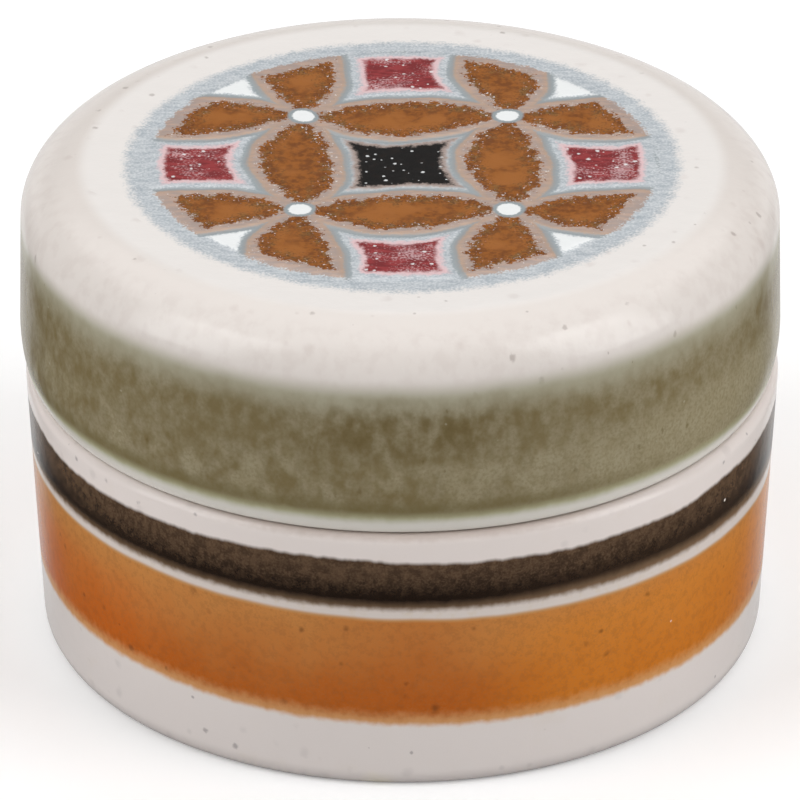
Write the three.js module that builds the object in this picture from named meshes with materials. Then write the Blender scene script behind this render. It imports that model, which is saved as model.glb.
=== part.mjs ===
// A round stoneware box with a loose lid, in millimetres, +Z up, standing on its foot ring.
//
// The box is a thrown cylinder that draws in a little towards its foot. Its wall ends in a flat
// seat with a rounded outer edge, and a thinner collar stands up inside the seat. The lid is a cap:
// its skirt drops round the collar and rests on the seat, and both edges curl in to a fine seam.
// The lid's top is nearly flat, a little hollow towards its middle, with a round shoulder.
// Both pieces are turned bodies, so each is one closed profile spun round the axis.
import * as THREE from "three";

// Driving dimensions, in millimetres.
const LID_RADIUS = 50.0; // outside of the lid's skirt, where it is widest
const BOX_HEIGHT = 37.9; // floor to the seat that the lid rests on
const LID_HEIGHT = 27.7; // the lid's lower edge to the rim of its top

// The box's side and foot.
const BOX_STEP = 0.35; // how far the lid stands out past the box
const BOX_DRAW_IN = 1.8; // how much radius the side loses from the seat down to the floor
const FLOOR_THICKNESS = 5.0; // thickness of the box's floor
const FOOT_BEVEL_WIDTH = 1.6; // worn edge where the side meets the foot ring
const FOOT_BEVEL_HEIGHT = 2.8; // height of that worn edge
const FOOT_RING_WIDTH = 6.0; // flat ring that the box stands on
const FOOT_RECESS = 1.4; // how far the underside is turned up inside the ring
const FOOT_SLOPE = 1.6; // width of the slope from the ring to the recess

// The seat, and the collar that the lid drops round.
const SEAT_WIDTH = 4.0; // ledge from the box's outside to the collar
const SEAT_EDGE = 1.2; // rounded outer edge of the seat
const COLLAR_HEIGHT = 6.5; // collar above the seat
const COLLAR_WALL = 2.8; // thickness of the collar
const COLLAR_EDGE = 1.1; // rounded top edges of the collar
const INNER_CORNER = 7.0; // round corner between the wall and the floor, inside

// The lid.
const LID_CLEARANCE = 0.7; // gap all round between the collar and the skirt
const SEAT_GAP = 0.3; // the lid's rest height over the seat
const SKIRT_CURL_HEIGHT = 6.4; // height over which the skirt's lower edge curls in
const SKIRT_CURL_WIDTH = 1.8; // how far that edge curls in
const SKIRT_TAPER = 0.4; // how much radius the skirt loses from there up to the shoulder
const SHOULDER_WIDTH = 8.5; // round shoulder between the skirt and the top
const SHOULDER_HEIGHT = 6.7; // height of that shoulder
const TOP_DISH = 0.3; // how far the top sinks from its rim to the middle
const LID_TOP_WALL = 5.2; // thickness of the lid's top at its rim
const LID_INNER_CORNER = 8.0; // round corner under the lid's top

const FACETS = 96; // steps round the axis
const EDGE_STEPS = 5; // steps in each rounded edge
const SHOULDER_STEPS = 10; // steps in the lid's shoulder

// Points of a quarter ellipse from angle a to angle b, in degrees, round a centre.
function arc(centreR, centreZ, radiusR, radiusZ, a, b, steps = EDGE_STEPS) {
  return Array.from({ length: steps + 1 }, (_, i) => {
    const t = THREE.MathUtils.degToRad(a + ((b - a) * i) / steps);
    return [centreR + radiusR * Math.cos(t), centreZ + radiusZ * Math.sin(t)];
  });
}

// A closed profile of [radius, height] points, from the axis to the axis, spun into a solid.
function turned(profile) {
  const points = profile.map(([r, z]) => new THREE.Vector2(r, z));
  return new THREE.LatheGeometry(points, FACETS).rotateX(Math.PI / 2);
}

// The radius of the box's outside at a height.
function boxRadius(z) {
  return LID_RADIUS - BOX_STEP - (BOX_DRAW_IN * (BOX_HEIGHT - z)) / BOX_HEIGHT;
}

// The radii that the box and the lid share at the seam.
const collarOuter = boxRadius(BOX_HEIGHT) - SEAT_WIDTH;
const collarInner = collarOuter - COLLAR_WALL;
const skirtInner = collarOuter + LID_CLEARANCE;

// The box: out along the underside, up the side, over the seat and collar, and down inside.
function boxProfile() {
  const footOuter = boxRadius(FOOT_BEVEL_HEIGHT) - FOOT_BEVEL_WIDTH;
  const footInner = footOuter - FOOT_RING_WIDTH;
  const collarTop = BOX_HEIGHT + COLLAR_HEIGHT;
  const seatEdgeLow = BOX_HEIGHT - SEAT_EDGE;
  return [
    [0, FOOT_RECESS],
    [footInner - FOOT_SLOPE, FOOT_RECESS],
    [footInner, 0],
    ...arc(footOuter, FOOT_BEVEL_HEIGHT, FOOT_BEVEL_WIDTH, FOOT_BEVEL_HEIGHT, -90, 0),
    ...arc(boxRadius(seatEdgeLow) - SEAT_EDGE, seatEdgeLow, SEAT_EDGE, SEAT_EDGE, 0, 90),
    [collarOuter, BOX_HEIGHT],
    ...arc(collarOuter - COLLAR_EDGE, collarTop - COLLAR_EDGE, COLLAR_EDGE, COLLAR_EDGE, 0, 90),
    ...arc(collarInner + COLLAR_EDGE, collarTop - COLLAR_EDGE, COLLAR_EDGE, COLLAR_EDGE, 90, 180),
    ...arc(collarInner - INNER_CORNER, FLOOR_THICKNESS + INNER_CORNER, INNER_CORNER, INNER_CORNER, 0, -90),
    [0, FLOOR_THICKNESS],
  ];
}

// The lid: under its top, down inside the skirt, round its lower edge, up and over the shoulder.
function lidProfile() {
  const bottom = BOX_HEIGHT + SEAT_GAP;
  const top = bottom + LID_HEIGHT;
  const ceiling = top - LID_TOP_WALL;
  const edgeOuter = LID_RADIUS - SKIRT_CURL_WIDTH;
  const flatRadius = LID_RADIUS - SKIRT_TAPER - SHOULDER_WIDTH;
  const dish = Array.from({ length: EDGE_STEPS }, (_, i) => {
    const r = flatRadius * (1 - (i + 1) / EDGE_STEPS);
    return [r, top - TOP_DISH * (1 - (r / flatRadius) ** 2)];
  });
  return [
    [0, ceiling],
    ...arc(skirtInner - LID_INNER_CORNER, ceiling - LID_INNER_CORNER, LID_INNER_CORNER, LID_INNER_CORNER, 90, 0),
    [skirtInner, bottom],
    ...arc(edgeOuter, bottom + SKIRT_CURL_HEIGHT, SKIRT_CURL_WIDTH, SKIRT_CURL_HEIGHT, -90, 0),
    ...arc(flatRadius, top - SHOULDER_HEIGHT, SHOULDER_WIDTH, SHOULDER_HEIGHT, 0, 90, SHOULDER_STEPS),
    ...dish,
  ];
}

const glaze = new THREE.MeshStandardMaterial({ color: 0xe4dcd5, roughness: 0.42, metalness: 0 });

const box = new THREE.Mesh(turned(boxProfile()), glaze);
box.name = "box_base";

const lid = new THREE.Mesh(turned(lidProfile()), glaze);
lid.name = "lid";

const part = new THREE.Group();
part.add(box, lid);

export default part;
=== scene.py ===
"""Looks of a round stoneware box with a loose lid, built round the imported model.

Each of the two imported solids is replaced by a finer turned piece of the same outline. Lengths are
millimetres, apart from the studio's and the meshes', which are metres. The front is towards -Y.
"""
import logging
import math
from collections.abc import Callable, Sequence
from dataclasses import dataclass, field
from enum import Enum

import bpy
import numpy as np
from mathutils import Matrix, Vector

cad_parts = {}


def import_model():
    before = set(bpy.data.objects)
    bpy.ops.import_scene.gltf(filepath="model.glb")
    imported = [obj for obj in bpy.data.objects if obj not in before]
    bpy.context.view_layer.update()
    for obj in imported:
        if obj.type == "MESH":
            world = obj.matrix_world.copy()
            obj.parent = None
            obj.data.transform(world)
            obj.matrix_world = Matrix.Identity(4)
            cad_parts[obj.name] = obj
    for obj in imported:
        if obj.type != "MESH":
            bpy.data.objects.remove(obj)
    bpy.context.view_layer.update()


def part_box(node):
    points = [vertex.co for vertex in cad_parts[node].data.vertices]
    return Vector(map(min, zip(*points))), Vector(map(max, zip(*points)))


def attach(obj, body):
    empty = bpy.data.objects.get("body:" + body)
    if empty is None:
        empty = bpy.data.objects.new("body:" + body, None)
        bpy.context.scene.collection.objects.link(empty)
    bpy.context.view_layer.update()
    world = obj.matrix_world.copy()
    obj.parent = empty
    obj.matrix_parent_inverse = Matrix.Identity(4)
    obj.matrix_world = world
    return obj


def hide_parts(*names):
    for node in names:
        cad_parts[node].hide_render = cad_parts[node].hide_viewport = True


LOG = logging.getLogger("lidded_box")
MM = 0.001
SEAT_GAP = 0.3
COLLAR_CLEARANCE = 0.7
WHITE = "ffffff"
Pair = tuple[float, float]
Triple = tuple[float, float, float]
Grids = tuple[np.ndarray, np.ndarray, np.ndarray]


def paint(code: str) -> tuple[float, float, float, float]:
    """Turns a colour code as a screen shows it into the linear colour that a shader takes.

    Args:
        code: six hex digits, two each for red, green and blue.

    Returns:
        Linear red, green and blue by the sRGB curve, and a full alpha.
    """
    shown = np.array([int(code[i:i + 2], 16) for i in (0, 2, 4)]) / 255
    linear = np.where(shown <= 0.04045, shown / 12.92, ((shown + 0.055) / 1.055) ** 2.4)
    return (*(float(v) for v in linear), 1.0)


def added(name: str, data: bpy.types.ID) -> bpy.types.Object:
    """Adds an object to the scene.

    Args:
        name: the object's name.
        data: its mesh, lamp or camera.

    Returns:
        The new object.
    """
    thing = bpy.data.objects.new(name, data)
    bpy.context.scene.collection.objects.link(thing)
    return thing


# Shader nodes.


@dataclass(frozen=True)
class Wire:
    """A value that a socket of a shader tree gives, combined by ordinary arithmetic."""

    tree: bpy.types.NodeTree
    socket: bpy.types.NodeSocket

    def math(self, operation: str, *others: "Wire | float") -> "Wire":
        """Puts the value and the others through one Math node."""
        return step(self.tree, "Math", 0, dict(enumerate((self, *others))), operation=operation)

    def __add__(self, other: "Wire | float") -> "Wire":
        """Adds."""
        return self.math("ADD", other)

    def __sub__(self, other: "Wire | float") -> "Wire":
        """Subtracts."""
        return self.math("SUBTRACT", other)

    def __rsub__(self, other: float) -> "Wire":
        """Subtracts from a number."""
        return self * -1 + other

    def __mul__(self, other: "Wire | float") -> "Wire":
        """Multiplies."""
        return self.math("MULTIPLY", other)

    def swing(self, amount: float) -> "Wire":
        """Makes a noise between 0 and 1 swing to both sides of 0, over the amount in all."""
        return (self - 0.5) * amount

    def hypot(self, other: "Wire") -> "Wire":
        """Gives the length of the vector whose two parts are the values."""
        return (self * self + other * other).math("SQRT")

    def fade(self, start: "Wire | float", end: "Wire | float") -> "Wire":
        """Rises smoothly from 0, where the value is start, to 1, where it is end."""
        inputs = {"Value": self, "From Min": start, "From Max": end}
        return step(self.tree, "MapRange", "Result", inputs, interpolation_type="SMOOTHSTEP")


def step(tree: bpy.types.NodeTree, kind: str, output: str | int, inputs: dict, **settings: str) -> Wire:
    """Adds a node to a tree.

    Args:
        tree: the tree.
        kind: the node's type, without its prefix.
        output: which of its outputs is used.
        inputs: the wires and plain values for its inputs.
        settings: its settings, such as its operation.

    Returns:
        The output.
    """
    node = tree.nodes.new("ShaderNode" + kind)
    for name, setting in settings.items():
        setattr(node, name, setting)
    for name, value in inputs.items():
        plug(value, node.inputs[name])
    return Wire(tree, node.outputs[output])


def plug(value: Wire | float | Sequence[float] | str, slot: bpy.types.NodeSocket) -> None:
    """Links a wire into a node's socket, or writes a plain value or a colour there.

    Args:
        value: the wire, the plain value or the colour's code.
        slot: the socket.
    """
    if isinstance(value, Wire):
        value.tree.links.new(value.socket, slot)
    else:
        slot.default_value = paint(value) if isinstance(value, str) else value


@dataclass(frozen=True)
class Ramp:
    """A smooth rise from 0, where a value is start, to share, where it is end."""

    start: float
    end: float
    share: float = 1.0

    def on(self, value: Wire) -> Wire:
        """Gives the rise over a value."""
        return value.fade(self.start, self.end) * self.share


@dataclass(frozen=True)
class Tint:
    """A colour that shows by a smooth rise: none where a value is start, its share at end."""

    code: str
    start: float
    end: float
    share: float = 1.0


@dataclass(frozen=True)
class Specks:
    """Scattered specks, with their mean spacing and the largest one's radius in millimetres.

    The part of its radius over which a speck fades out is soft, and share is how much of it shows.
    """

    code: str
    spacing: float
    radius: float
    soft: float
    share: float = 1.0
    stretch: Triple = (1, 1, 1)


class Recipe:
    """One finish's node tree, with the steps that the glazes here are mixed from.

    x, y and z are the place on the piece in millimetres, side is its distance to either side of
    the middle, and radius its distance from the axis.
    """

    SEED_STEP = 17.3
    RAGGED, RAGGED_SIZE = 1.3, 1.1

    def __init__(self, name: str, roughness: float, gloss: float) -> None:
        """Starts a material with a plain shader.

        Args:
            name: the material's name.
            roughness: how much the surface scatters its reflections.
            gloss: the shader's specular level.
        """
        self.material = bpy.data.materials.new(name)
        self.material.use_nodes = True
        self.tree = self.material.node_tree
        self.shader = self.tree.nodes["Principled BSDF"]
        self.shader.inputs["Roughness"].default_value = roughness
        self.shader.inputs["Specular IOR Level"].default_value = gloss
        self.place = self.vector("MULTIPLY", step(self.tree, "TexCoord", "Object", {}), (1 / MM,) * 3)
        self.x, self.y, self.z = self.split(self.place)
        self.side = self.x.math("ABSOLUTE")
        self.radius = self.x.hypot(self.y)
        self.seed = 0.0

    def vector(self, operation: str, *values: Wire | Sequence[float]) -> Wire:
        """Puts vectors through one Vector Math node."""
        return step(self.tree, "VectorMath", 0, dict(enumerate(values)), operation=operation)

    def split(self, vector: Wire) -> tuple[Wire, ...]:
        """Gives the three parts of a vector or a colour."""
        first = step(self.tree, "SeparateXYZ", 0, {0: vector})
        return tuple(Wire(self.tree, socket) for socket in first.socket.node.outputs)

    def scaled(self, size: float, stretch: Triple) -> Wire:
        """Measures the place in pattern sizes, shifted so that no two patterns line up."""
        self.seed += self.SEED_STEP
        return self.vector("MULTIPLY_ADD", self.place, [1 / (size * s) for s in stretch], [self.seed] * 3)

    def noise(self, size: float, detail: float = 2.0, stretch: Triple = (1, 1, 1)) -> Wire:
        """Makes noise between 0 and 1, of one grain size and with finer layers for its detail."""
        inputs = {"Vector": self.scaled(size, stretch), "Scale": 1.0, "Detail": detail}
        return step(self.tree, "TexNoise", 0, inputs)

    def specks(self, kind: Specks) -> Wire:
        """Makes scattered specks, each with a radius of its own up to the largest.

        Noise makes the edges ragged. Its swing is a share of the speck's radius, and its grain one
        of the largest speck's.

        Args:
            kind: the specks' sizes.

        Returns:
            The specks' share inside a speck and 0 outside.
        """
        inputs = {"Vector": self.scaled(kind.spacing, kind.stretch), "Scale": 1.0}
        distance = step(self.tree, "TexVoronoi", "Distance", inputs)
        chance = self.split(Wire(self.tree, distance.socket.node.outputs["Color"]))[0]
        reach = chance * kind.radius
        ragged = self.noise(kind.radius * self.RAGGED_SIZE).swing(self.RAGGED) * reach
        far = distance * kind.spacing + ragged
        return far.fade(reach, reach * (1 - kind.soft)) * kind.share

    def finish(self, colour: Wire, relief: Wire, depth: float) -> bpy.types.Material:
        """Joins the colour and the fine relief to the shader.

        Args:
            colour: the surface's colour.
            relief: the fine relief.
            depth: how many millimetres a relief of 1 stands for.

        Returns:
            The finished material.
        """
        plug(colour, self.shader.inputs["Base Color"])
        bump = step(self.tree, "Bump", "Normal", {"Distance": depth * MM, "Height": relief})
        plug(bump, self.shader.inputs["Normal"])
        return self.material


class Layers:
    """A glaze's colour, made of colours laid one over another."""

    def __init__(self, mix: Recipe, base: Wire | str) -> None:
        """Starts with the recipe that the nodes go into and the lowest colour."""
        self.mix = mix
        self.colour = base

    def lay(self, colour: Wire | str, share: Wire, *others: Wire) -> None:
        """Lays a colour over the earlier ones, by a Mix node's inputs and output for colours.

        Args:
            colour: the colour.
            share: how much of it shows.
            others: further shares, by which that one is multiplied.
        """
        for other in others:
            share = share * other
        inputs = {0: share, 6: self.colour, 7: colour}
        self.colour = step(self.mix.tree, "Mix", 2, inputs, data_type="RGBA")

    def tint(self, tint: Tint, value: Wire, *others: Wire) -> None:
        """Lays a tint over the earlier colours, by its rise over a value times the others."""
        self.lay(tint.code, value.fade(tint.start, tint.end) * tint.share, *others)

    def speckle(self, specks: Specks, *others: Wire) -> None:
        """Strews specks over the earlier colours, weakened by the others."""
        self.lay(specks.code, self.mix.specks(specks), *others)


class Glaze(Recipe):
    """The recipe of a satin glaze outside, which is uneven by a mottle and by wide clouds."""

    mottle: Wire
    cloud: Wire

    def __init__(self, name: str) -> None:
        """Starts the material by its name."""
        super().__init__(name, roughness=0.22, gloss=0.5)

    def height(self, fray: Pair) -> Wire:
        """Gives the height, made uneven by the mottle and the clouds over their amounts."""
        return self.z + self.mottle.swing(fray[0]) + self.cloud.swing(fray[1])


# The box's glazes.


@dataclass(frozen=True)
class Edge:
    """A band's edge, at its height at the front, which rises by tilt per millimetre to the right.

    Under the edge the share of something shows, and it is blurred over the height soft.
    """

    height: float
    tilt: float
    soft: float
    share: float = 1.0

    def moved(self, up: float, soft: float, share: float = 1.0) -> "Edge":
        """Gives the same edge further up, with another softness and share."""
        return Edge(self.height + up, self.tilt, soft, share)

    def under(self, mix: Recipe, wave: Wire) -> Wire:
        """Gives the share under the edge, which the wave lowers, and 0 above it."""
        height = mix.z - mix.x * self.tilt + wave
        return height.fade(self.height + self.soft / 2, self.height - self.soft / 2) * self.share


class BoxMix(Glaze):
    """The box's recipe, with the noises that its glazes share, drawn in a fixed order."""

    UPRIGHT = (1, 1, 20)

    def __init__(self) -> None:
        """Draws three noises that colour the glazes and three that make the edges wave."""
        super().__init__("box_glaze")
        self.grain = self.noise(0.3, detail=3)
        self.mottle = self.noise(1.1, detail=3)
        self.cloud = self.noise(8.0, detail=3)
        self.ripple = self.noise(1.7, stretch=self.UPRIGHT).swing(0.8)
        self.sway = self.noise(9.0, stretch=self.UPRIGHT).swing(0.5)
        self.drift = self.noise(20.0, detail=0, stretch=self.UPRIGHT).swing(1.5)


@dataclass(frozen=True)
class DarkBand:
    """The dark brown band, which grows black towards its frayed brown lower edge.

    Its upper edge rises at both far sides and dips a little in between, at the right.
    """

    BROWN, BLACK, FRINGE = "5c4633", "20130a", "84694f"
    top: Edge = Edge(33.94, -0.008, 0.75)
    bottom: Edge = Edge(27.03, -0.015, 1.1)
    fringe: Edge = bottom.moved(0.65, soft=2.0, share=0.85)
    top_ripple: float = 0.85
    right_rise: Ramp = Ramp(36.0, 42.0, 0.75)
    left_rise: Ramp = Ramp(-43.5, -48.5, 0.8)
    dip: Ramp = Ramp(14.0, 22.0, 0.3)
    dip_end: Ramp = Ramp(40.0, 34.0)
    bottom_ripple: float = 0.25
    bottom_fray: float = 0.6
    fringe_right: Ramp = Ramp(5.0, 30.0, 0.5)
    brown: Tint = Tint(BROWN, 28.6, 33.4)
    brown_fray: Pair = (3.0, 0.0)
    brown_right: Tint = Tint(BROWN, 2.0, 30.0, 0.2)
    grains: Tint = Tint(FRINGE, 0.4, 0.75, 0.26)
    grain_heights: Ramp = Ramp(28.5, 31.0)
    patches: Tint = Tint(BLACK, 1.2, 0.75, 0.4)
    patch_grain: float = 0.5
    patch_mottle: float = 1.5
    glints: Specks = Specks("f0e8e0", 6.0, 0.28, 0.3)

    def lay(self, mix: BoxMix, glaze: Layers, below: Wire) -> None:
        """Lays the band over a glaze.

        Args:
            mix: the box's recipe.
            glaze: the glaze.
            below: the colour under the band's lower edge.
        """
        dark = Layers(mix, self.BLACK)
        dark.tint(self.brown, mix.height(self.brown_fray))
        dark.tint(self.brown_right, mix.x)
        dark.tint(self.grains, mix.grain, self.grain_heights.on(mix.z))
        dark.tint(self.patches, mix.grain * self.patch_grain + mix.mottle * self.patch_mottle)
        frayed = mix.ripple * self.bottom_ripple + mix.mottle.swing(self.bottom_fray)
        dark.lay(self.FRINGE, self.fringe.under(mix, frayed - self.fringe_right.on(mix.x)))
        dark.speckle(self.glints)
        drift = mix.drift - self.right_rise.on(mix.x) - self.left_rise.on(mix.x)
        drift = drift + self.dip.on(mix.x) * self.dip_end.on(mix.x)
        glaze.lay(dark.colour, self.top.under(mix, mix.ripple * self.top_ripple + drift))
        glaze.lay(below, self.bottom.under(mix, frayed))


@dataclass(frozen=True)
class OrangeBand:
    """The broad orange band, which deepens downwards and ends in a pale tan fringe.

    It is deepest in the middle, brighter at the right and warmer at the left.
    """

    DEEP, UMBER = "b65b0e", "5a3316"
    top: Edge = Edge(25.67, -0.022, 0.65)
    rim: Edge = top.moved(-0.4, soft=0.6)
    rim_tan: str = "c4935f"
    bottom: Edge = Edge(9.6, -0.022, 1.1)
    bottom_ripple: float = 0.4
    bottom_fray: float = 0.6
    fringe: Edge = bottom.moved(1.3, soft=2.4, share=0.85)
    fringe_fray: float = 1.4
    fringe_tan: str = "d3a06a"
    high: Tint = Tint("c68443", 11.0, 27.0)
    high_fray: Pair = (2.0, 9.0)
    bright_right: Tint = Tint("d98421", 4.0, 24.0, 0.6)
    bright_heights: Ramp = Ramp(27.0, 21.0)
    deep_middle: Tint = Tint(DEEP, 14.0, 3.0, 0.35)
    warm_left: Tint = Tint("d26410", -26.0, -38.0, 0.35)
    warm_heights: Ramp = Ramp(25.5, 20.0)
    grains: Tint = Tint("b07843", 0.4, 0.75, 0.25)
    mottles: Tint = Tint(UMBER, 0.66, 0.95, 0.16)
    mottle_grain: float = 0.5
    blots: Specks = Specks(UMBER, 2.8, 0.8, 1.0, 0.55)
    glints: Specks = Specks("f0e8e0", 6.0, 0.25, 0.5, 0.7)

    def lay(self, mix: BoxMix, glaze: Layers, below: Wire) -> None:
        """Lays the band over a glaze.

        Args:
            mix: the box's recipe.
            glaze: the glaze.
            below: the colour under the band's lower edge.
        """
        orange = Layers(mix, self.DEEP)
        orange.tint(self.high, mix.height(self.high_fray))
        orange.tint(self.bright_right, mix.x, self.bright_heights.on(mix.z))
        orange.tint(self.deep_middle, mix.side)
        orange.tint(self.warm_left, mix.x, self.warm_heights.on(mix.z))
        orange.tint(self.grains, mix.grain)
        orange.tint(self.mottles, mix.mottle + mix.grain * self.mottle_grain)
        orange.lay(self.rim_tan, 1 - self.rim.under(mix, mix.sway))
        fray = mix.sway + mix.mottle.swing(self.fringe_fray)
        orange.lay(self.fringe_tan, self.fringe.under(mix, fray))
        orange.speckle(self.blots)
        orange.speckle(self.glints)
        glaze.lay(orange.colour, self.top.under(mix, mix.sway))
        wave = mix.sway + mix.ripple * self.bottom_ripple + mix.mottle.swing(self.bottom_fray)
        glaze.lay(below, self.bottom.under(mix, wave))


@dataclass(frozen=True)
class BoxGlaze:
    """The box's outside: a cream ground with a dark brown band over a broad orange one.

    The cream has iron specks and straw patches near the foot. Painted shade darkens it along the foot
    and, at the front, just under the lid.
    """

    SPECK, STAIN = "837a7c", "d2bf9f"
    low: str = "e0d8d4"
    high: Tint = Tint("e5dbd6", 4.0, 36.0)
    stain: Tint = Tint(STAIN, 0.55, 0.85, 0.2)
    straw: Specks = Specks("ece2bd", 14.0, 4.0, 1.0, 0.6)
    straw_heights: Ramp = Ramp(8.0, 5.0)
    blots: Specks = Specks(SPECK, 3.4, 1.2, 0.9, 0.13)
    iron: Specks = Specks(SPECK, 4.0, 0.62, 0.7, 0.55)
    # Painted shade: the speck colour darkens a thin strip along the foot's edge, where the box meets the
    # floor.
    foot: Edge = Edge(1.6, 0.0, 2.0, 0.2)
    # Painted shade: a brown darkening of the cream just under the lid's edge, strongest at the front and
    # gone at the sides.
    seam_shade: Tint = Tint("a08878", 36.8, 37.85, 0.42)
    seam_shade_fray: Pair = (0.5, 0.0)
    seam_shade_front: Ramp = Ramp(40.0, 14.0)
    line: str = "d8cdc6"
    line_stain: Tint = Tint(STAIN, 0.5, 0.75, 0.3)
    dark: DarkBand = DarkBand()
    orange: OrangeBand = OrangeBand()
    grain_relief: float = 0.2
    cloud_relief: float = 2.0
    depth: float = 0.05

    def cream(self, mix: BoxMix) -> Wire:
        """Colours the cream ground.

        Args:
            mix: the box's recipe.

        Returns:
            The colour.
        """
        cream = Layers(mix, self.low)
        cream.tint(self.high, mix.z)
        cream.tint(self.stain, mix.cloud)
        cream.speckle(self.straw, self.straw_heights.on(mix.z))
        cream.speckle(self.blots)
        cream.speckle(self.iron)
        # Painted shade along the foot's lower edge, in the speck colour.
        cream.lay(self.SPECK, self.foot.under(mix, mix.sway))
        # Painted shade just under the lid's edge, fading out towards the sides.
        cream.tint(self.seam_shade, mix.height(self.seam_shade_fray), self.seam_shade_front.on(mix.side))
        return cream.colour

    def make(self) -> bpy.types.Material:
        """Mixes the material, with a fine line of cream between the two bands.

        Returns:
            The material.
        """
        mix = BoxMix()
        cream = self.cream(mix)
        line = Layers(mix, self.line)
        line.tint(self.line_stain, mix.mottle)
        glaze = Layers(mix, cream)
        self.dark.lay(mix, glaze, line.colour)
        self.orange.lay(mix, glaze, cream)
        relief = mix.grain * self.grain_relief + mix.cloud * self.cloud_relief
        return mix.finish(glaze.colour, relief, self.depth)


# The lid's glazes.


class LidMix(Glaze):
    """The lid's recipe, with the noises that its cream and its olive band share."""

    def __init__(self) -> None:
        """Draws the noises in a fixed order."""
        super().__init__("lid_glaze")
        self.cloud = self.noise(9.0)
        self.mottle = self.noise(1.7, detail=3, stretch=(1, 1, 1.3))
        self.patch = self.noise(3.0, stretch=(1, 1, 1.4))
        self.fine = self.noise(0.45, detail=3)


@dataclass(frozen=True)
class OliveBand:
    """The olive band on the lid's side, over a green line and a grey-white curled edge."""

    BROWN, GREY, SOFT, LINE, DEEP = "7a6b48", "a0967a", "aaa58f", "70643f", "655530"
    top_heights: Ramp = Ramp(60.5, 57.5)
    top_fray: Pair = (0.4, 0.8)
    olive: Tint = Tint("8f8469", 0.5, 1.0)
    olive_cloud: float = 0.5
    grey: Tint = Tint(GREY, 0.45, 0.72, 0.6)
    grey_heights: Ramp = Ramp(51.5, 46.5)
    grey_right: Tint = Tint(GREY, 0.0, 40.0, 0.7)
    grey_right_heights: Ramp = Ramp(53.0, 46.0)
    grains: Tint = Tint(LINE, 0.35, 0.75, 0.4)
    soft: Tint = Tint(SOFT, 53.6, 59.2)
    soft_fray: Pair = (1.2, 2.0)
    deep: Tint = Tint(DEEP, 1.4, 0.6, 0.8)
    deep_middle: Ramp = Ramp(20.0, 4.0)
    deep_from: Ramp = Ramp(47.0, 51.5)
    deep_to: Ramp = Ramp(59.0, 54.5)
    deep_specks: Specks = Specks(DEEP, 3.0, 0.45, 0.8, 0.5, (1, 1, 1.8))
    soft_specks: Specks = Specks(SOFT, 3.4, 0.32, 0.8, 0.5)
    low_fray: Pair = (0.5, 0.0)
    line: Tint = Tint(LINE, 43.8, 42.0)
    line_left: Ramp = Ramp(45.0, 15.0, 0.6)
    green: Tint = Tint("a8a584", 41.85, 40.25)
    curl: Tint = Tint("d6d2ca", 40.95, 39.45)

    def lay(self, mix: LidMix, glaze: Layers) -> None:
        """Lays the band, its green line and the curled edge over a glaze.

        Args:
            mix: the lid's recipe.
            glaze: the glaze.
        """
        olive = Layers(mix, self.BROWN)
        olive.tint(self.olive, mix.mottle + mix.cloud * self.olive_cloud)
        olive.tint(self.grey, mix.patch, self.grey_heights.on(mix.z))
        olive.tint(self.grey_right, mix.x, self.grey_right_heights.on(mix.z))
        olive.tint(self.grains, mix.fine)
        olive.tint(self.soft, mix.height(self.soft_fray))
        heights = self.deep_from.on(mix.z) * self.deep_to.on(mix.z)
        olive.tint(self.deep, mix.cloud + mix.mottle, heights, self.deep_middle.on(mix.side))
        olive.speckle(self.deep_specks)
        olive.speckle(self.soft_specks)
        low = mix.height(self.low_fray)
        olive.tint(self.line, low, self.line_left.on(mix.x))
        glaze.lay(olive.colour, self.top_heights.on(mix.height(self.top_fray)))
        glaze.tint(self.green, low)
        glaze.tint(self.curl, low)


@dataclass(frozen=True)
class Lattice:
    """Interlocking circles of one size round the points of a square lattice, inside a round motif.

    A place's distance from the nearest circle round a neighbouring point is below 0 in the petals,
    where two circles overlap, and above 0 in the four-pointed stars between them.
    """

    spacing: float = 27.0
    circle: float = 20.2
    motif_radius: float = 33.2


class Sketch:
    """The medallion's lattice as wires, and the noises that its glazes share."""

    def __init__(self, mix: Recipe, lattice: Lattice) -> None:
        """Measures a place in the lattice and draws the noises.

        Coordinates folded at half a spacing are the distances from the nearest point. Neighbouring
        points lie a spacing away along one axis, and circles cross half a spacing away along both.

        Args:
            mix: the lid's recipe.
            lattice: the lattice's sizes.
        """
        spacing = lattice.spacing
        half = spacing / 2
        across, along, _ = mix.split(step(mix.tree, "Attribute", "Vector", {}, attribute_name="pattern"))
        x, y = across.math("PINGPONG", half), along.math("PINGPONG", half)
        nearest = (spacing - x).hypot(y).math("MINIMUM", x.hypot(spacing - y))
        column, row = (((part + half) * (1 / spacing)).math("FLOOR") for part in (across, along))
        self.edge = nearest - lattice.circle
        self.crossing = (half - x).hypot(half - y)
        self.odd = (column + row).math("PINGPONG", 1.0)
        self.rim = mix.radius - lattice.motif_radius
        self.fine = mix.noise(0.35, detail=3)
        # A noise that scatters the petals' painted white glints.
        self.glint_scatter = mix.noise(0.4)
        self.rough = mix.noise(1.2, detail=3)
        self.brushed = mix.noise(0.8, detail=4, stretch=(3, 1, 1))
        self.wide = mix.noise(4.5)
        self.dapple = mix.noise(0.9, detail=3)

    def ragged(self, distance: Wire, fray: Pair) -> Wire:
        """Makes a distance uneven, by the fine noise and the rough one over their amounts."""
        return distance + self.fine.swing(fray[0]) + self.rough.swing(fray[1])


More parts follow.
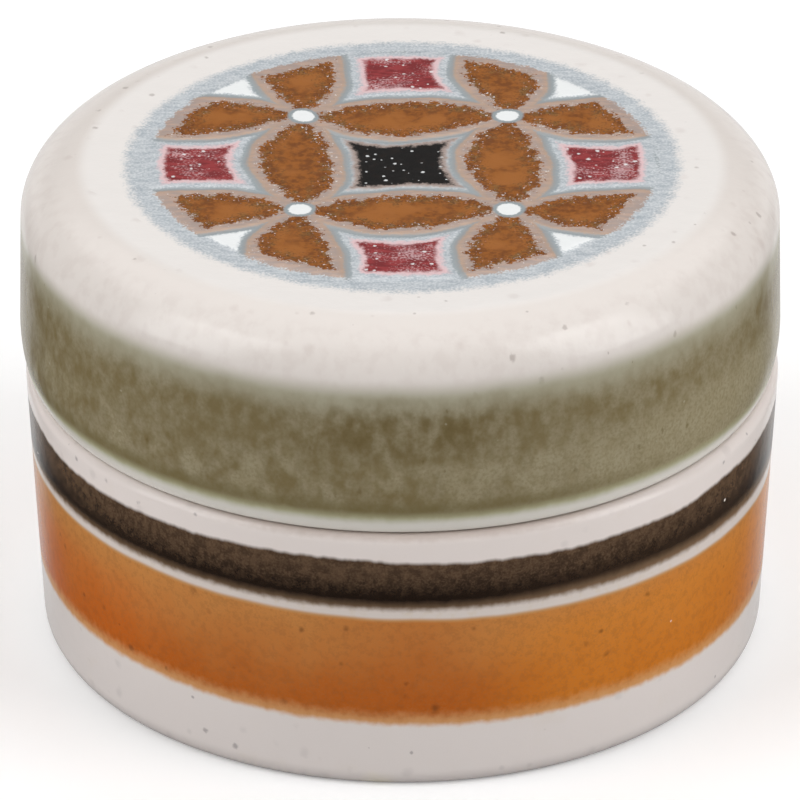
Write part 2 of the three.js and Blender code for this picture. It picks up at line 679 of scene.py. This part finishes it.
@dataclass(frozen=True)
class Petals:
    """The petals: dappled amber with a frayed edge and painted white glints, inside soft pale rims.

    What is called inside or rim rises over the distance from the petal's edge, below 0 inside.
    """

    halo_grey: str = "ab9a92"
    halo: Tint = Tint("bda394", 0.38, 0.65)
    orange_rim: Tint = Tint("c2a185", -1.5, -0.5, 0.45)
    fray: Pair = (2.4, 3.4)
    amber_dark: str = "7a4519"
    amber: Tint = Tint("985a20", 0.36, 0.62)
    amber_inside: Ramp = Ramp(-1.7, -2.2)
    bright: Tint = Tint("a2632a", 0.42, 0.62)
    bright_inside: Ramp = Ramp(-2.0, -4.2)
    moss: Tint = Tint("7d5f33", 0.45, 0.68, 0.75)
    moss_rim: Ramp = Ramp(-4.8, -2.4)
    umber: Tint = Tint("5b3519", 0.46, 0.64, 0.8)
    umber_rim: Ramp = Ramp(-5.4, -2.0)
    # Painted highlights: white glints near the amber's frayed edge, where the glaze catches the light.
    white_glints: Tint = Tint("f2f4f4", 0.64, 0.72, 0.85)
    glint_inside: Ramp = Ramp(-0.6, -1.9)
    glint_rim: Ramp = Ramp(-4.0, -2.8)

    def colour(self, mix: Recipe, sketch: Sketch) -> Wire:
        """Colours the petals.

        Args:
            mix: the lid's recipe.
            sketch: the lattice and its noises.

        Returns:
            The colour.
        """
        inside = sketch.edge.math("MAXIMUM", sketch.rim)
        frayed = sketch.ragged(inside, self.fray)
        amber = Layers(mix, self.amber_dark)
        amber.tint(self.amber, sketch.dapple)
        amber.tint(self.bright, sketch.wide, self.bright_inside.on(inside))
        amber.tint(self.moss, sketch.rough, self.moss_rim.on(frayed))
        amber.tint(self.umber, sketch.fine, self.umber_rim.on(frayed))
        petal = Layers(mix, self.halo_grey)
        petal.tint(self.halo, sketch.brushed)
        petal.tint(self.orange_rim, sketch.edge)
        petal.lay(amber.colour, self.amber_inside.on(frayed))
        # Painted highlights: white glints along the amber's edge.
        petal.tint(self.white_glints, sketch.glint_scatter, self.glint_inside.on(frayed), self.glint_rim.on(inside))
        return petal.colour


@dataclass(frozen=True)
class Stars:
    """The stars: one black, four red and, further out, white corners, all in thin pale rims.

    What is called inside rises over the distance from the star's edge, above 0 inside.
    """

    red_dark: str = "7d2a2d"
    red: Tint = Tint("99393b", 0.4, 0.62)
    red_inset: float = 0.9
    pink: Tint = Tint("e5c5c7", 0.5, 0.66, 0.6)
    black: str = "0b0705"
    brown: Tint = Tint("1e120b", 0.5, 0.7, 0.6)
    # Painted highlights: tiny white glints strewn over the stars, where the glaze's crystals catch the
    # light.
    dots: Specks = Specks("f2f4f4", 1.2, 0.36, 0.5, 0.8)
    white: str = "f2f4f4"
    corner_radii: Ramp = Ramp(21.0, 22.0)
    corner_outset: float = 0.8
    fray: Pair = (1.0, 1.4)
    rim_grey: str = "ab9a92"
    rim_inside: Ramp = Ramp(0.2, 1.1)
    star_inside: Ramp = Ramp(1.0, 1.8)

    def colour(self, mix: Recipe, sketch: Sketch, ground: Wire) -> Wire:
        """Colours the stars.

        Args:
            mix: the lid's recipe.
            sketch: the lattice and its noises.
            ground: the ground's colour, which shows between the stars and the petals.

        Returns:
            The colour.
        """
        red = Layers(mix, self.red_dark)
        red.tint(self.red, sketch.brushed)
        red.tint(self.pink, (sketch.fine + sketch.wide) * 0.5)
        star = Layers(mix, self.black)
        star.tint(self.brown, sketch.rough)
        star.lay(red.colour, sketch.odd)
        # Painted highlights: tiny white glints over the stars.
        star.speckle(self.dots)
        corner = self.corner_radii.on(mix.radius) * (1 - sketch.odd)
        star.lay(self.white, corner)
        rim = Layers(mix, self.rim_grey)
        rim.lay(self.pink.code, sketch.odd)
        inside = sketch.edge.math("MINIMUM", sketch.rim * -1)
        inset = sketch.ragged(inside, self.fray)
        inset = inset - sketch.odd * self.red_inset + corner * self.corner_outset
        colour = Layers(mix, ground)
        colour.lay(rim.colour, self.rim_inside.on(inset), 1 - corner)
        colour.lay(star.colour, self.star_inside.on(inset))
        return colour.colour


@dataclass(frozen=True)
class Medallion:
    """The painted medallion: petals, stars and white dots in grey lines, on a streaked ground."""

    LINE = "98a0a3"
    lattice: Lattice = Lattice()
    petals: Petals = Petals()
    stars: Stars = Stars()
    ground_dark: str = "aab2b9"
    ground: Tint = Tint("cfd3d6", 0.34, 0.64)
    ground_light: Tint = Tint("e3e5e6", 0.5, 0.7, 0.32)
    star_edge: Ramp = Ramp(-0.25, 0.25)
    line: Tint = Tint(LINE, 0.75, 0.2, 0.85)
    line_fray: float = 0.7
    dot_line: Tint = Tint(LINE, 2.4, 1.9)
    dot: Tint = Tint("f2f4f4", 1.7, 1.4)
    dot_fray: float = 0.5
    ground_edge: Ramp = Ramp(37.0, 35.2)
    motif_edge: Ramp = Ramp(33.5, 32.9)
    fray: Pair = (2.0, 1.8)

    def lay(self, mix: Recipe, glaze: Layers) -> None:
        """Paints the medallion over the lid's glaze.

        Args:
            mix: the lid's recipe.
            glaze: the glaze.
        """
        sketch = Sketch(mix, self.lattice)
        ground = Layers(mix, self.ground_dark)
        ground.tint(self.ground, (sketch.brushed + sketch.fine) * 0.5)
        ground.tint(self.ground_light, sketch.fine)
        motif = Layers(mix, self.petals.colour(mix, sketch))
        motif.lay(self.stars.colour(mix, sketch, ground.colour), self.star_edge.on(sketch.edge))
        motif.tint(self.line, sketch.edge.math("ABSOLUTE") + sketch.fine.swing(self.line_fray))
        crossing = sketch.crossing + sketch.fine.swing(self.dot_fray)
        motif.tint(self.dot_line, crossing)
        motif.tint(self.dot, crossing)
        radius = sketch.ragged(mix.radius, self.fray)
        glaze.lay(ground.colour, self.ground_edge.on(radius))
        glaze.lay(motif.colour, self.motif_edge.on(radius))


@dataclass(frozen=True)
class LidGlaze:
    """The lid's outside: a cream top and pinkish shoulder, an olive band and the medallion."""

    SPECK, TALL = "a89088", (1, 1, 1.6)
    cream: str = "eee9e5"
    pink: Tint = Tint("e2dad4", 40.8, 43.0)
    mottles: Tint = Tint(SPECK, 0.4, 0.7, 0.1)
    mottle_heights: Ramp = Ramp(65.8, 64.5)
    blots: Specks = Specks(SPECK, 3.2, 1.2, 0.9, 0.15, TALL)
    iron: Specks = Specks("7d6a62", 3.6, 0.6, 0.7, 0.4, TALL)
    olive: OliveBand = OliveBand()
    medallion: Medallion = Medallion()
    fine_relief: float = 0.3
    wide_relief: float = 2.0
    depth: float = 0.05

    def make(self) -> bpy.types.Material:
        """Mixes the material.

        Returns:
            The material.
        """
        mix = LidMix()
        glaze = Layers(mix, self.cream)
        glaze.tint(self.pink, mix.radius)
        glaze.tint(self.mottles, mix.mottle, self.mottle_heights.on(mix.z))
        glaze.speckle(self.blots)
        glaze.speckle(self.iron)
        self.olive.lay(mix, glaze)
        self.medallion.lay(mix, glaze)
        relief = mix.noise(0.5) * self.fine_relief + mix.noise(5.0) * self.wide_relief
        return mix.finish(glaze.colour, relief, self.depth)


# Finishes that both pieces wear.


@dataclass(frozen=True)
class BareClay:
    """Unglazed stoneware on the foot ring, the seat and the collar."""

    dark: str = "a98a6f"
    pale: Tint = Tint("cdb49c", 0.35, 0.7)
    iron: Specks = Specks("5d4534", 2.6, 0.5, 0.5)
    depth: float = 0.12

    def make(self) -> bpy.types.Material:
        """Mixes the material.

        Returns:
            The material.
        """
        mix = Recipe("bare_clay", roughness=0.8, gloss=0.2)
        grog = mix.noise(0.6, detail=4)
        clay = Layers(mix, self.dark)
        clay.tint(self.pale, grog)
        clay.speckle(self.iron)
        return mix.finish(clay.colour, grog, self.depth)


@dataclass(frozen=True)
class Lining:
    """The clear cream glaze inside the box and the lid."""

    cream: str = "e2d8cf"
    pooled: Tint = Tint("cfc4b4", 0.45, 0.7, 0.6)
    blots: Specks = Specks("8a7668", 3.0, 1.1, 0.8, 0.6)
    depth: float = 0.02

    def make(self) -> bpy.types.Material:
        """Mixes the material.

        Returns:
            The material.
        """
        mix = Recipe("lining_glaze", roughness=0.28, gloss=0.4)
        glaze = Layers(mix, self.cream)
        glaze.tint(self.pooled, mix.noise(8.0, detail=3))
        glaze.speckle(self.blots)
        return mix.finish(glaze.colour, mix.noise(0.5), self.depth)


# Turned pieces.


class Surface(Enum):
    """Which finish a stretch of an outline wears, by its material slot."""

    PAINTED = 0
    BARE = 1
    LINING = 2


@dataclass
class Outline:
    """The outline of a turned piece, drawn from the axis underneath to the axis on top."""

    pen: Pair
    stretches: list[np.ndarray] = field(default_factory=list)
    surfaces: list[np.ndarray] = field(default_factory=list)

    def add(self, points: np.ndarray, surface: Surface) -> None:
        """Adds points that wear one finish, and leaves the pen at the last.

        Args:
            points: the points' [radius, height], from the pen on.
            surface: the finish.
        """
        self.stretches.append(points[:-1])
        self.surfaces.append(np.full(len(points) - 1, surface.value))
        self.pen = tuple(points[-1])

    def line(self, end: Pair, steps: int, surface: Surface) -> None:
        """Adds a straight stretch from the pen: pen (1 - t) + end t, for t from 0 to 1."""
        t = np.linspace(0, 1, steps + 1)[:, None]
        self.add(np.array(self.pen) * (1 - t) + np.array(end) * t, surface)

    def arc(self, centre: Pair, radii: Pair, turn: Pair, steps: int, surface: Surface) -> None:
        """Adds an elliptic stretch: centre + radii (cos a, sin a), for a over the turn in degrees."""
        a = np.radians(np.linspace(*turn, steps + 1))[:, None]
        self.add(np.array(centre) + np.array(radii) * np.hstack((np.cos(a), np.sin(a))), surface)

    def closed(self) -> tuple[np.ndarray, np.ndarray]:
        """Gives the outline's points, which end at the pen, and their finishes."""
        return np.vstack((*self.stretches, [self.pen])), np.concatenate(self.surfaces)


@dataclass(frozen=True)
class Thrown:
    """The slight unevenness of a thrown wall.

    It is a sum of sine waves of 2 turns round the axis, of 3 and so on, each with a phase of its
    own that leans with the height, and each weaker as its number of turns grows.
    """

    seed: int
    amount: float
    count: int = 5
    fewest_turns: int = 2
    lean: float = 0.05

    def out(self, angle: np.ndarray, height: np.ndarray) -> np.ndarray:
        """Works out how far each place stands out.

        Args:
            angle: the angle round the axis.
            height: the height in millimetres.

        Returns:
            The distances in millimetres.
        """
        phases = np.random.default_rng(self.seed).uniform(0, 2 * np.pi, (self.count, 2))
        waves = [
            np.sin(turns * angle + phase + height * self.lean * math.cos(tilt)) / turns
            for turns, (phase, tilt) in enumerate(phases, self.fewest_turns)
        ]
        return self.amount * np.sum(waves, axis=0)


def turned_piece(name: str, points: np.ndarray, surfaces: np.ndarray, around: int,
                 shape: Callable[[Grids], Grids]) -> bpy.types.Object:
    """Spins an outline into a closed mesh.

    Ring i, place j stands at (r cos t, r sin t, z), with t = 2 pi j / around and with r and z from
    the outline's point i, after the piece's own shape method has moved them. The outline's two
    ends are single points on the axis, which close the piece.

    Args:
        name: the piece's name.
        points: the outline's [radius, height] points.
        surfaces: the finish of the stretch after each point.
        around: how many places each ring has.
        shape: takes the grids of radius, angle and height, and gives the grids x, y and z.

    Returns:
        The new object.
    """
    angle = np.broadcast_to(np.arange(around) * 2 * np.pi / around, (len(points), around))
    radius = np.broadcast_to(points[:, :1], angle.shape)
    height = np.broadcast_to(points[:, 1:], angle.shape)
    grid = np.stack(shape((radius, angle, height)), axis=-1)
    places = np.vstack((grid[0, :1], grid[1:-1].reshape(-1, 3), grid[-1, :1])) * MM
    ring = 1 + np.arange(len(points) - 2)[:, None] * around + np.arange(around)
    beside = np.roll(ring, -1, axis=1)
    walls = np.stack((ring[:-1], beside[:-1], beside[1:], ring[1:]), axis=-1).reshape(-1, 4)
    first = np.column_stack((np.zeros(around, int), beside[0], ring[0]))
    last = np.column_stack((np.full(around, len(places) - 1), ring[-1], beside[-1]))
    mesh = bpy.data.meshes.new(name)
    mesh.from_pydata(places, [], first.tolist() + walls.tolist() + last.tolist())
    mesh.polygons.foreach_set("material_index", np.repeat(surfaces, around))
    mesh.polygons.foreach_set("use_smooth", np.ones(len(mesh.polygons), bool))
    mesh.update()
    LOG.info("%s: %d places, %d faces", name, len(mesh.vertices), len(mesh.polygons))
    return added(name, mesh)


@dataclass
class BoxBase:
    """The round box, with its foot ring, seat and collar."""

    radius: float
    seat: float
    step: float = 0.35
    draw_in: float = 1.8
    floor: float = 5.0
    bevel: Pair = (1.6, 2.8)
    ring: float = 6.0
    recess: float = 1.4
    slope: float = 1.6
    seat_width: float = 4.0
    seat_edge: float = 1.2
    seat_glaze: float = 1.1
    collar_height: float = 6.5
    collar_wall: float = 2.8
    collar_edge: float = 1.1
    corner: float = 7.0
    waves: Thrown = Thrown(seed=3, amount=0.07)
    wave_depth: float = 5.0
    mark: float = 0.1
    mark_pitch: float = 4.2
    mark_inset: float = 3.0
    mark_lift: float = 2.0
    around: int = 360

    def wall(self, height: float) -> float:
        """The outside radius at a height, which falls evenly from the seat to the table."""
        return self.radius - self.step - self.draw_in * (self.seat - height) / self.seat

    def outline(self) -> tuple[np.ndarray, np.ndarray]:
        """Draws the box's outline: underside, side, seat, collar and inside.

        Returns:
            The outline's points and their finishes.
        """
        bare, painted, lining = Surface.BARE, Surface.PAINTED, Surface.LINING
        wide, tall = self.bevel
        foot = self.wall(tall) - wide
        inner = foot - self.ring
        collar = self.wall(self.seat) - self.seat_width
        inside = collar - self.collar_wall
        edge, corner = self.collar_edge, self.corner
        crest = self.seat + self.collar_height - edge
        low = self.seat - self.seat_edge
        seat_out = self.wall(low) - self.seat_edge
        draw = Outline((0.0, self.recess))
        draw.line((inner - self.slope, self.recess), 12, painted)
        draw.line((inner, 0), 5, painted)
        draw.line((foot, 0), 6, bare)
        draw.arc((foot, tall), (wide, tall), (-90, 0), 10, painted)
        draw.line((self.wall(low), low), 60, painted)
        draw.arc((seat_out, low), (self.seat_edge, self.seat_edge), (0, 90), 8, painted)
        draw.line((seat_out - self.seat_glaze, self.seat), 3, painted)
        draw.line((collar, self.seat), 5, bare)
        draw.line((collar, crest), 9, bare)
        draw.arc((collar - edge, crest), (edge, edge), (0, 90), 6, bare)
        draw.arc((inside + edge, crest), (edge, edge), (90, 180), 6, lining)
        draw.line((inside, self.floor + corner), 40, lining)
        draw.arc((inside - corner, self.floor + corner), (corner, corner), (0, -90), 14, lining)
        draw.line((0, self.floor), 36, lining)
        return draw.closed()

    def shape(self, rings: Grids) -> Grids:
        """Places the rings, with a thrown wall's unevenness and throwing rings inside.

        The outer wall moves out by the thrown waves. Inside, a sine over the height, which climbs
        by its pitch once round the axis, stands for the finger marks.

        Args:
            rings: the grids of the outline's radii, the angles and the outline's heights.

        Returns:
            The grids x, y and z.
        """
        radius, angle, height = rings
        outer = (height > self.recess) & (radius > self.radius - self.wave_depth)
        inner_radius = self.radius - self.seat_width - self.mark_inset
        inner = (radius < inner_radius) & (height > self.floor + self.mark_lift)
        marks = self.mark * np.sin(2 * np.pi * height / self.mark_pitch + angle)
        r = radius + self.waves.out(angle, height) * outer + marks * inner
        return r * np.cos(angle), r * np.sin(angle), height

    def build(self) -> None:
        """Builds and dresses the box."""
        piece = turned_piece("stoneware_box", *self.outline(), self.around, self.shape)
        for finish in (BoxGlaze(), BareClay(), Lining()):
            piece.data.materials.append(finish.make())
        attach(piece, "box")
        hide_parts("box_base")


@dataclass
class Lid:
    """The cap lid, with its curled lower edge, round shoulder and painted top."""

    radius: float
    bottom: float
    top: float
    skirt_inner: float
    shift: float = -0.3
    sag: float = 0.22
    curl: Pair = (1.8, 6.4)
    edge_glaze: float = 0.8
    bare_height: float = 7.0
    taper: float = 0.4
    shoulder: Pair = (8.5, 6.7)
    dish: float = 0.3
    top_wall: float = 5.2
    corner: float = 8.0
    ring_gap: float = 0.45
    waves: Thrown = Thrown(seed=8, amount=0.06)
    wave_inset: float = 1.0
    wave_lift: float = 0.5
    lattice: Lattice = Lattice()
    enamel: float = 0.12
    enamel_depth: float = 2.0
    groove: float = 0.8
    bend: float = 0.5
    tremble: float = 0.12
    around: int = 480

    def outline(self) -> tuple[np.ndarray, np.ndarray]:
        """Draws the lid's outline: ceiling, inside, lower edge, side, shoulder and top.

        Returns:
            The outline's points and their finishes.
        """
        bare, painted, lining = Surface.BARE, Surface.PAINTED, Surface.LINING
        inner, corner = self.skirt_inner, self.corner
        ceiling = self.top - self.top_wall
        wide, tall = self.curl
        edge = self.radius - wide
        low = self.bottom - self.sag
        bulge = self.bottom + tall
        sweep, rise = self.shoulder
        flat = self.radius - self.taper - sweep
        draw = Outline((0.0, ceiling))
        draw.line((inner - corner, ceiling), 14, lining)
        draw.arc((inner - corner, ceiling - corner), (corner, corner), (90, 0), 12, lining)
        draw.line((inner, self.bottom + self.bare_height), 8, lining)
        draw.line((inner, low), 8, bare)
        draw.line((edge - self.edge_glaze, low), 3, bare)
        draw.line((edge, low), 3, painted)
        draw.arc((edge, bulge), (wide, bulge - low), (-90, 0), 14, painted)
        draw.line((self.radius - self.taper, self.top - rise), 20, painted)
        draw.arc((flat, self.top - rise), (sweep, rise), (0, 90), 26, painted)
        radii = np.append(np.arange(flat, self.ring_gap / 2, -self.ring_gap), 0.0)
        heights = self.top - self.dish * (1 - (radii / flat) ** 2)
        draw.add(np.column_stack((radii, heights)), painted)
        return draw.closed()

    def drawn(self, x: np.ndarray, y: np.ndarray) -> np.ndarray:
        """Bends the medallion's lattice a little, as a hand paints it.

        Each coordinate moves by a long sine of the other one and by a short sine of both. The long
        ones are 26 and 27 mm long and the short ones about 6.

        Args:
            x: the places to the right.
            y: the places to the back.

        Returns:
            The bent places, with 0 as their third part.
        """
        u = x + self.bend * np.sin(y / 4.1 + 0.7) + self.tremble * np.sin(y / 1.1 + x / 1.9)
        v = y + self.bend * np.sin(x / 4.3 + 2.1) + self.tremble * np.sin(x / 1.2 - y / 1.7)
        return np.stack((u, v, np.zeros_like(u)), axis=-1)

    def relief(self, x: np.ndarray, y: np.ndarray) -> np.ndarray:
        """Works out how far the enamel stands up on the lid's top.

        Petals and stars have the enamel's full height, which falls to 0 on each circle of the
        lattice, over the groove's width to either side, and over 1 mm inside the motif's rim.

        Args:
            x: the places to the right.
            y: the places to the back.

        Returns:
            The heights in millimetres.
        """
        spacing = self.lattice.spacing
        half = spacing / 2
        bent = self.drawn(x, y)
        a, b = (half - np.abs(np.mod(bent[..., k], spacing) - half) for k in (0, 1))
        edge = np.minimum(np.hypot(spacing - a, b), np.hypot(a, spacing - b)) - self.lattice.circle
        inside = np.clip(self.lattice.motif_radius - np.hypot(x, y), 0, 1)
        return self.enamel * np.clip(np.abs(edge) / self.groove, 0, 1) * inside

    def shape(self, rings: Grids) -> Grids:
        """Places the rings, with a thrown wall's unevenness and the enamel's relief.

        Args:
            rings: the grids of the outline's radii, the angles and the outline's heights.

        Returns:
            The grids x, y and z.
        """
        radius, angle, height = rings
        clear = radius > self.skirt_inner + self.wave_inset
        outer = clear & (height > self.bottom + self.wave_lift)
        r = radius + self.waves.out(angle, height) * outer
        x, y = r * np.cos(angle), r * np.sin(angle)
        z = height + self.relief(x, y) * (height > self.top - self.enamel_depth)
        return x + self.shift, y, z

    def build(self) -> None:
        """Builds and dresses the lid, whose mesh keeps the bent lattice for the medallion."""
        piece = turned_piece("stoneware_lid", *self.outline(), self.around, self.shape)
        places = np.empty(len(piece.data.vertices) * 3, np.float32)
        piece.data.vertices.foreach_get("co", places)
        x, y, _ = places.reshape(-1, 3).T / MM
        pattern = piece.data.attributes.new("pattern", "FLOAT_VECTOR", "POINT")
        pattern.data.foreach_set("vector", self.drawn(x, y).astype(np.float32).ravel())
        for finish in (LidGlaze(), BareClay(), Lining()):
            piece.data.materials.append(finish.make())
        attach(piece, "lid")
        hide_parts("lid")


# The studio.


@dataclass(frozen=True)
class Floor:
    """The white floor: its mesh in metres, and the places where its looks change in millimetres.

    It takes the object's shadow. The camera sees it glow, up to white far from the object.
    Reflections see it dim, apart from a lit wedge that opens towards the back, and from below
    it is see-through.
    """

    radii: Pair = (0.0463, 3.0)
    height: float = -0.00002
    steps: int = 96
    colour: str = "eeeeee"
    roughness: float = 0.9
    near_glow: float = 0.2
    far_glow: Ramp = Ramp(150.0, 700.0, 0.8)
    wedge_slope: float = 1.6
    wedge_sides: Ramp = Ramp(-107.0, -62.0, 0.72)
    wedge_front: Ramp = Ramp(-45.0, -20.0)
    dim_glow: float = 0.05

    def material(self) -> bpy.types.Material:
        """Mixes the floor's looks for the camera, for reflections and from below.

        Returns:
            The material.
        """
        mix = Recipe("floor", self.roughness, gloss=0.0)
        seen, mirrored = (step(mix.tree, "LightPath", f"Is {ray} Ray", {}) for ray in ("Camera", "Glossy"))
        plug(self.colour, mix.shader.inputs["Base Color"])
        plug(WHITE, mix.shader.inputs["Emission Color"])
        glow = self.far_glow.on(mix.radius) + self.near_glow
        plug(seen * glow, mix.shader.inputs["Emission Strength"])
        wedge = self.wedge_sides.on(mix.y - mix.side * self.wedge_slope) * self.wedge_front.on(mix.y)
        lit = step(mix.tree, "Emission", 0, {"Color": WHITE, "Strength": wedge + self.dim_glow})
        clear = step(mix.tree, "BsdfTransparent", 0, {})
        below = step(mix.tree, "NewGeometry", "Backfacing", {})
        surface = Wire(mix.tree, mix.shader.outputs["BSDF"])
        surface = step(mix.tree, "MixShader", 0, {0: mirrored, 1: surface, 2: lit})
        surface = step(mix.tree, "MixShader", 0, {0: below, 1: surface, 2: clear})
        plug(surface, mix.tree.nodes["Material Output"].inputs["Surface"])
        return mix.material

    def build(self) -> None:
        """Adds a flat ring of quads whose inner edge lies under the foot ring.

        So the lamp below lights only the underside.
        """
        steps = np.arange(self.steps)
        angle = steps * 2 * np.pi / self.steps
        ring = np.column_stack((np.cos(angle), np.sin(angle)))
        flat = np.vstack([ring * radius for radius in self.radii])
        places = np.column_stack((flat, np.full(len(flat), self.height)))
        after = np.roll(steps, -1)
        quads = np.column_stack((steps, steps + self.steps, after + self.steps, after))
        mesh = bpy.data.meshes.new("floor")
        mesh.from_pydata(places, [], quads.tolist())
        mesh.materials.append(self.material())
        added("floor", mesh)


@dataclass(frozen=True)
class Lamp:
    """One soft lamp: where it hangs, what it faces, its two sides and its face's brightness."""

    name: str
    place: Triple
    aim: Triple
    sides: Pair
    glow: float

    def hang(self) -> None:
        """Adds the lamp, facing its aim, with the power that gives its face its brightness."""
        data = bpy.data.lights.new(self.name, "AREA")
        data.shape = "RECTANGLE"
        data.size, data.size_y = self.sides
        data.energy = self.glow * math.pi * data.size * data.size_y
        holder = added(self.name, data)
        holder.location = self.place
        holder.rotation_euler = (Vector(self.aim) - Vector(self.place)).to_track_quat("-Z", "Y").to_euler()
        holder.visible_camera = False


@dataclass
class Studio:
    """The camera at the photograph's angle, the world, the floor and the lamps."""

    aim: Triple = (-0.000307, 0.0, 0.030729)
    distance: float = 1.0
    elevation: float = math.radians(28.52)
    lens: float = 339.79
    sensor: float = 36.0
    sky: float = 0.09
    lamps: tuple[Lamp, ...] = (
        Lamp("top_panel", (0.0, 1.1, 2.2), (0.0, 1.1, 0.0), (4.4, 4.0), 1.05),
        Lamp("left_softbox", (-1.5, -0.65, 0.98), (0.0, 0.0, 0.03), (1.1, 2.0), 2.8),
        Lamp("right_softbox", (1.5, -0.65, 0.98), (0.0, 0.0, 0.03), (1.1, 2.0), 3.15),
        Lamp("back_strip", (0.0, 2.6, 0.3), (0.0, 0.0, 0.06), (5.0, 0.6), 0.6),
        Lamp("under_panel", (0.0, 0.0, -1.8), (0.0, 0.0, 0.0), (2.4, 2.4), 1.8),
    )

    def set_camera(self) -> None:
        """Places the camera."""
        data = bpy.data.cameras.new("camera")
        data.sensor_width = self.sensor
        data.lens = self.lens
        camera = added("camera", data)
        back = Vector((0, -math.cos(self.elevation), math.sin(self.elevation)))
        camera.location = Vector(self.aim) + back * self.distance
        camera.rotation_euler = (-back).to_track_quat("-Z", "Y").to_euler()
        bpy.context.scene.camera = camera

    def set_world(self) -> None:
        """Makes a world that the camera sees white and that lights the object faintly."""
        world = bpy.data.worlds.new("world")
        bpy.context.scene.world = world
        world.use_nodes = True
        tree = world.node_tree
        background = tree.nodes["Background"]
        plug(WHITE, background.inputs["Color"])
        seen = step(tree, "LightPath", "Is Camera Ray", {})
        plug(seen * (1 - self.sky) + self.sky, background.inputs["Strength"])

    def build(self) -> None:
        """Sets up the camera, the world, the floor and the lamps."""
        self.set_camera()
        self.set_world()
        Floor().build()
        for lamp in self.lamps:
            lamp.hang()
        bpy.context.scene.view_settings.view_transform = "Standard"
        LOG.info("studio: camera, world, floor and %d lamps", len(self.lamps))


def main() -> None:
    """Builds the box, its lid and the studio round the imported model."""
    logging.basicConfig(level=logging.INFO)
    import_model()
    low, high = (np.array(corner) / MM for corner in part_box("lid"))
    radius = float(high[0])
    base = BoxBase(radius=radius, seat=float(low[2]) - SEAT_GAP)
    skirt_inner = base.wall(base.seat) - base.seat_width + COLLAR_CLEARANCE
    base.build()
    Lid(radius=radius, bottom=float(low[2]), top=float(high[2]), skirt_inner=skirt_inner).build()
    Studio().build()


if __name__ == "__main__":
    main()
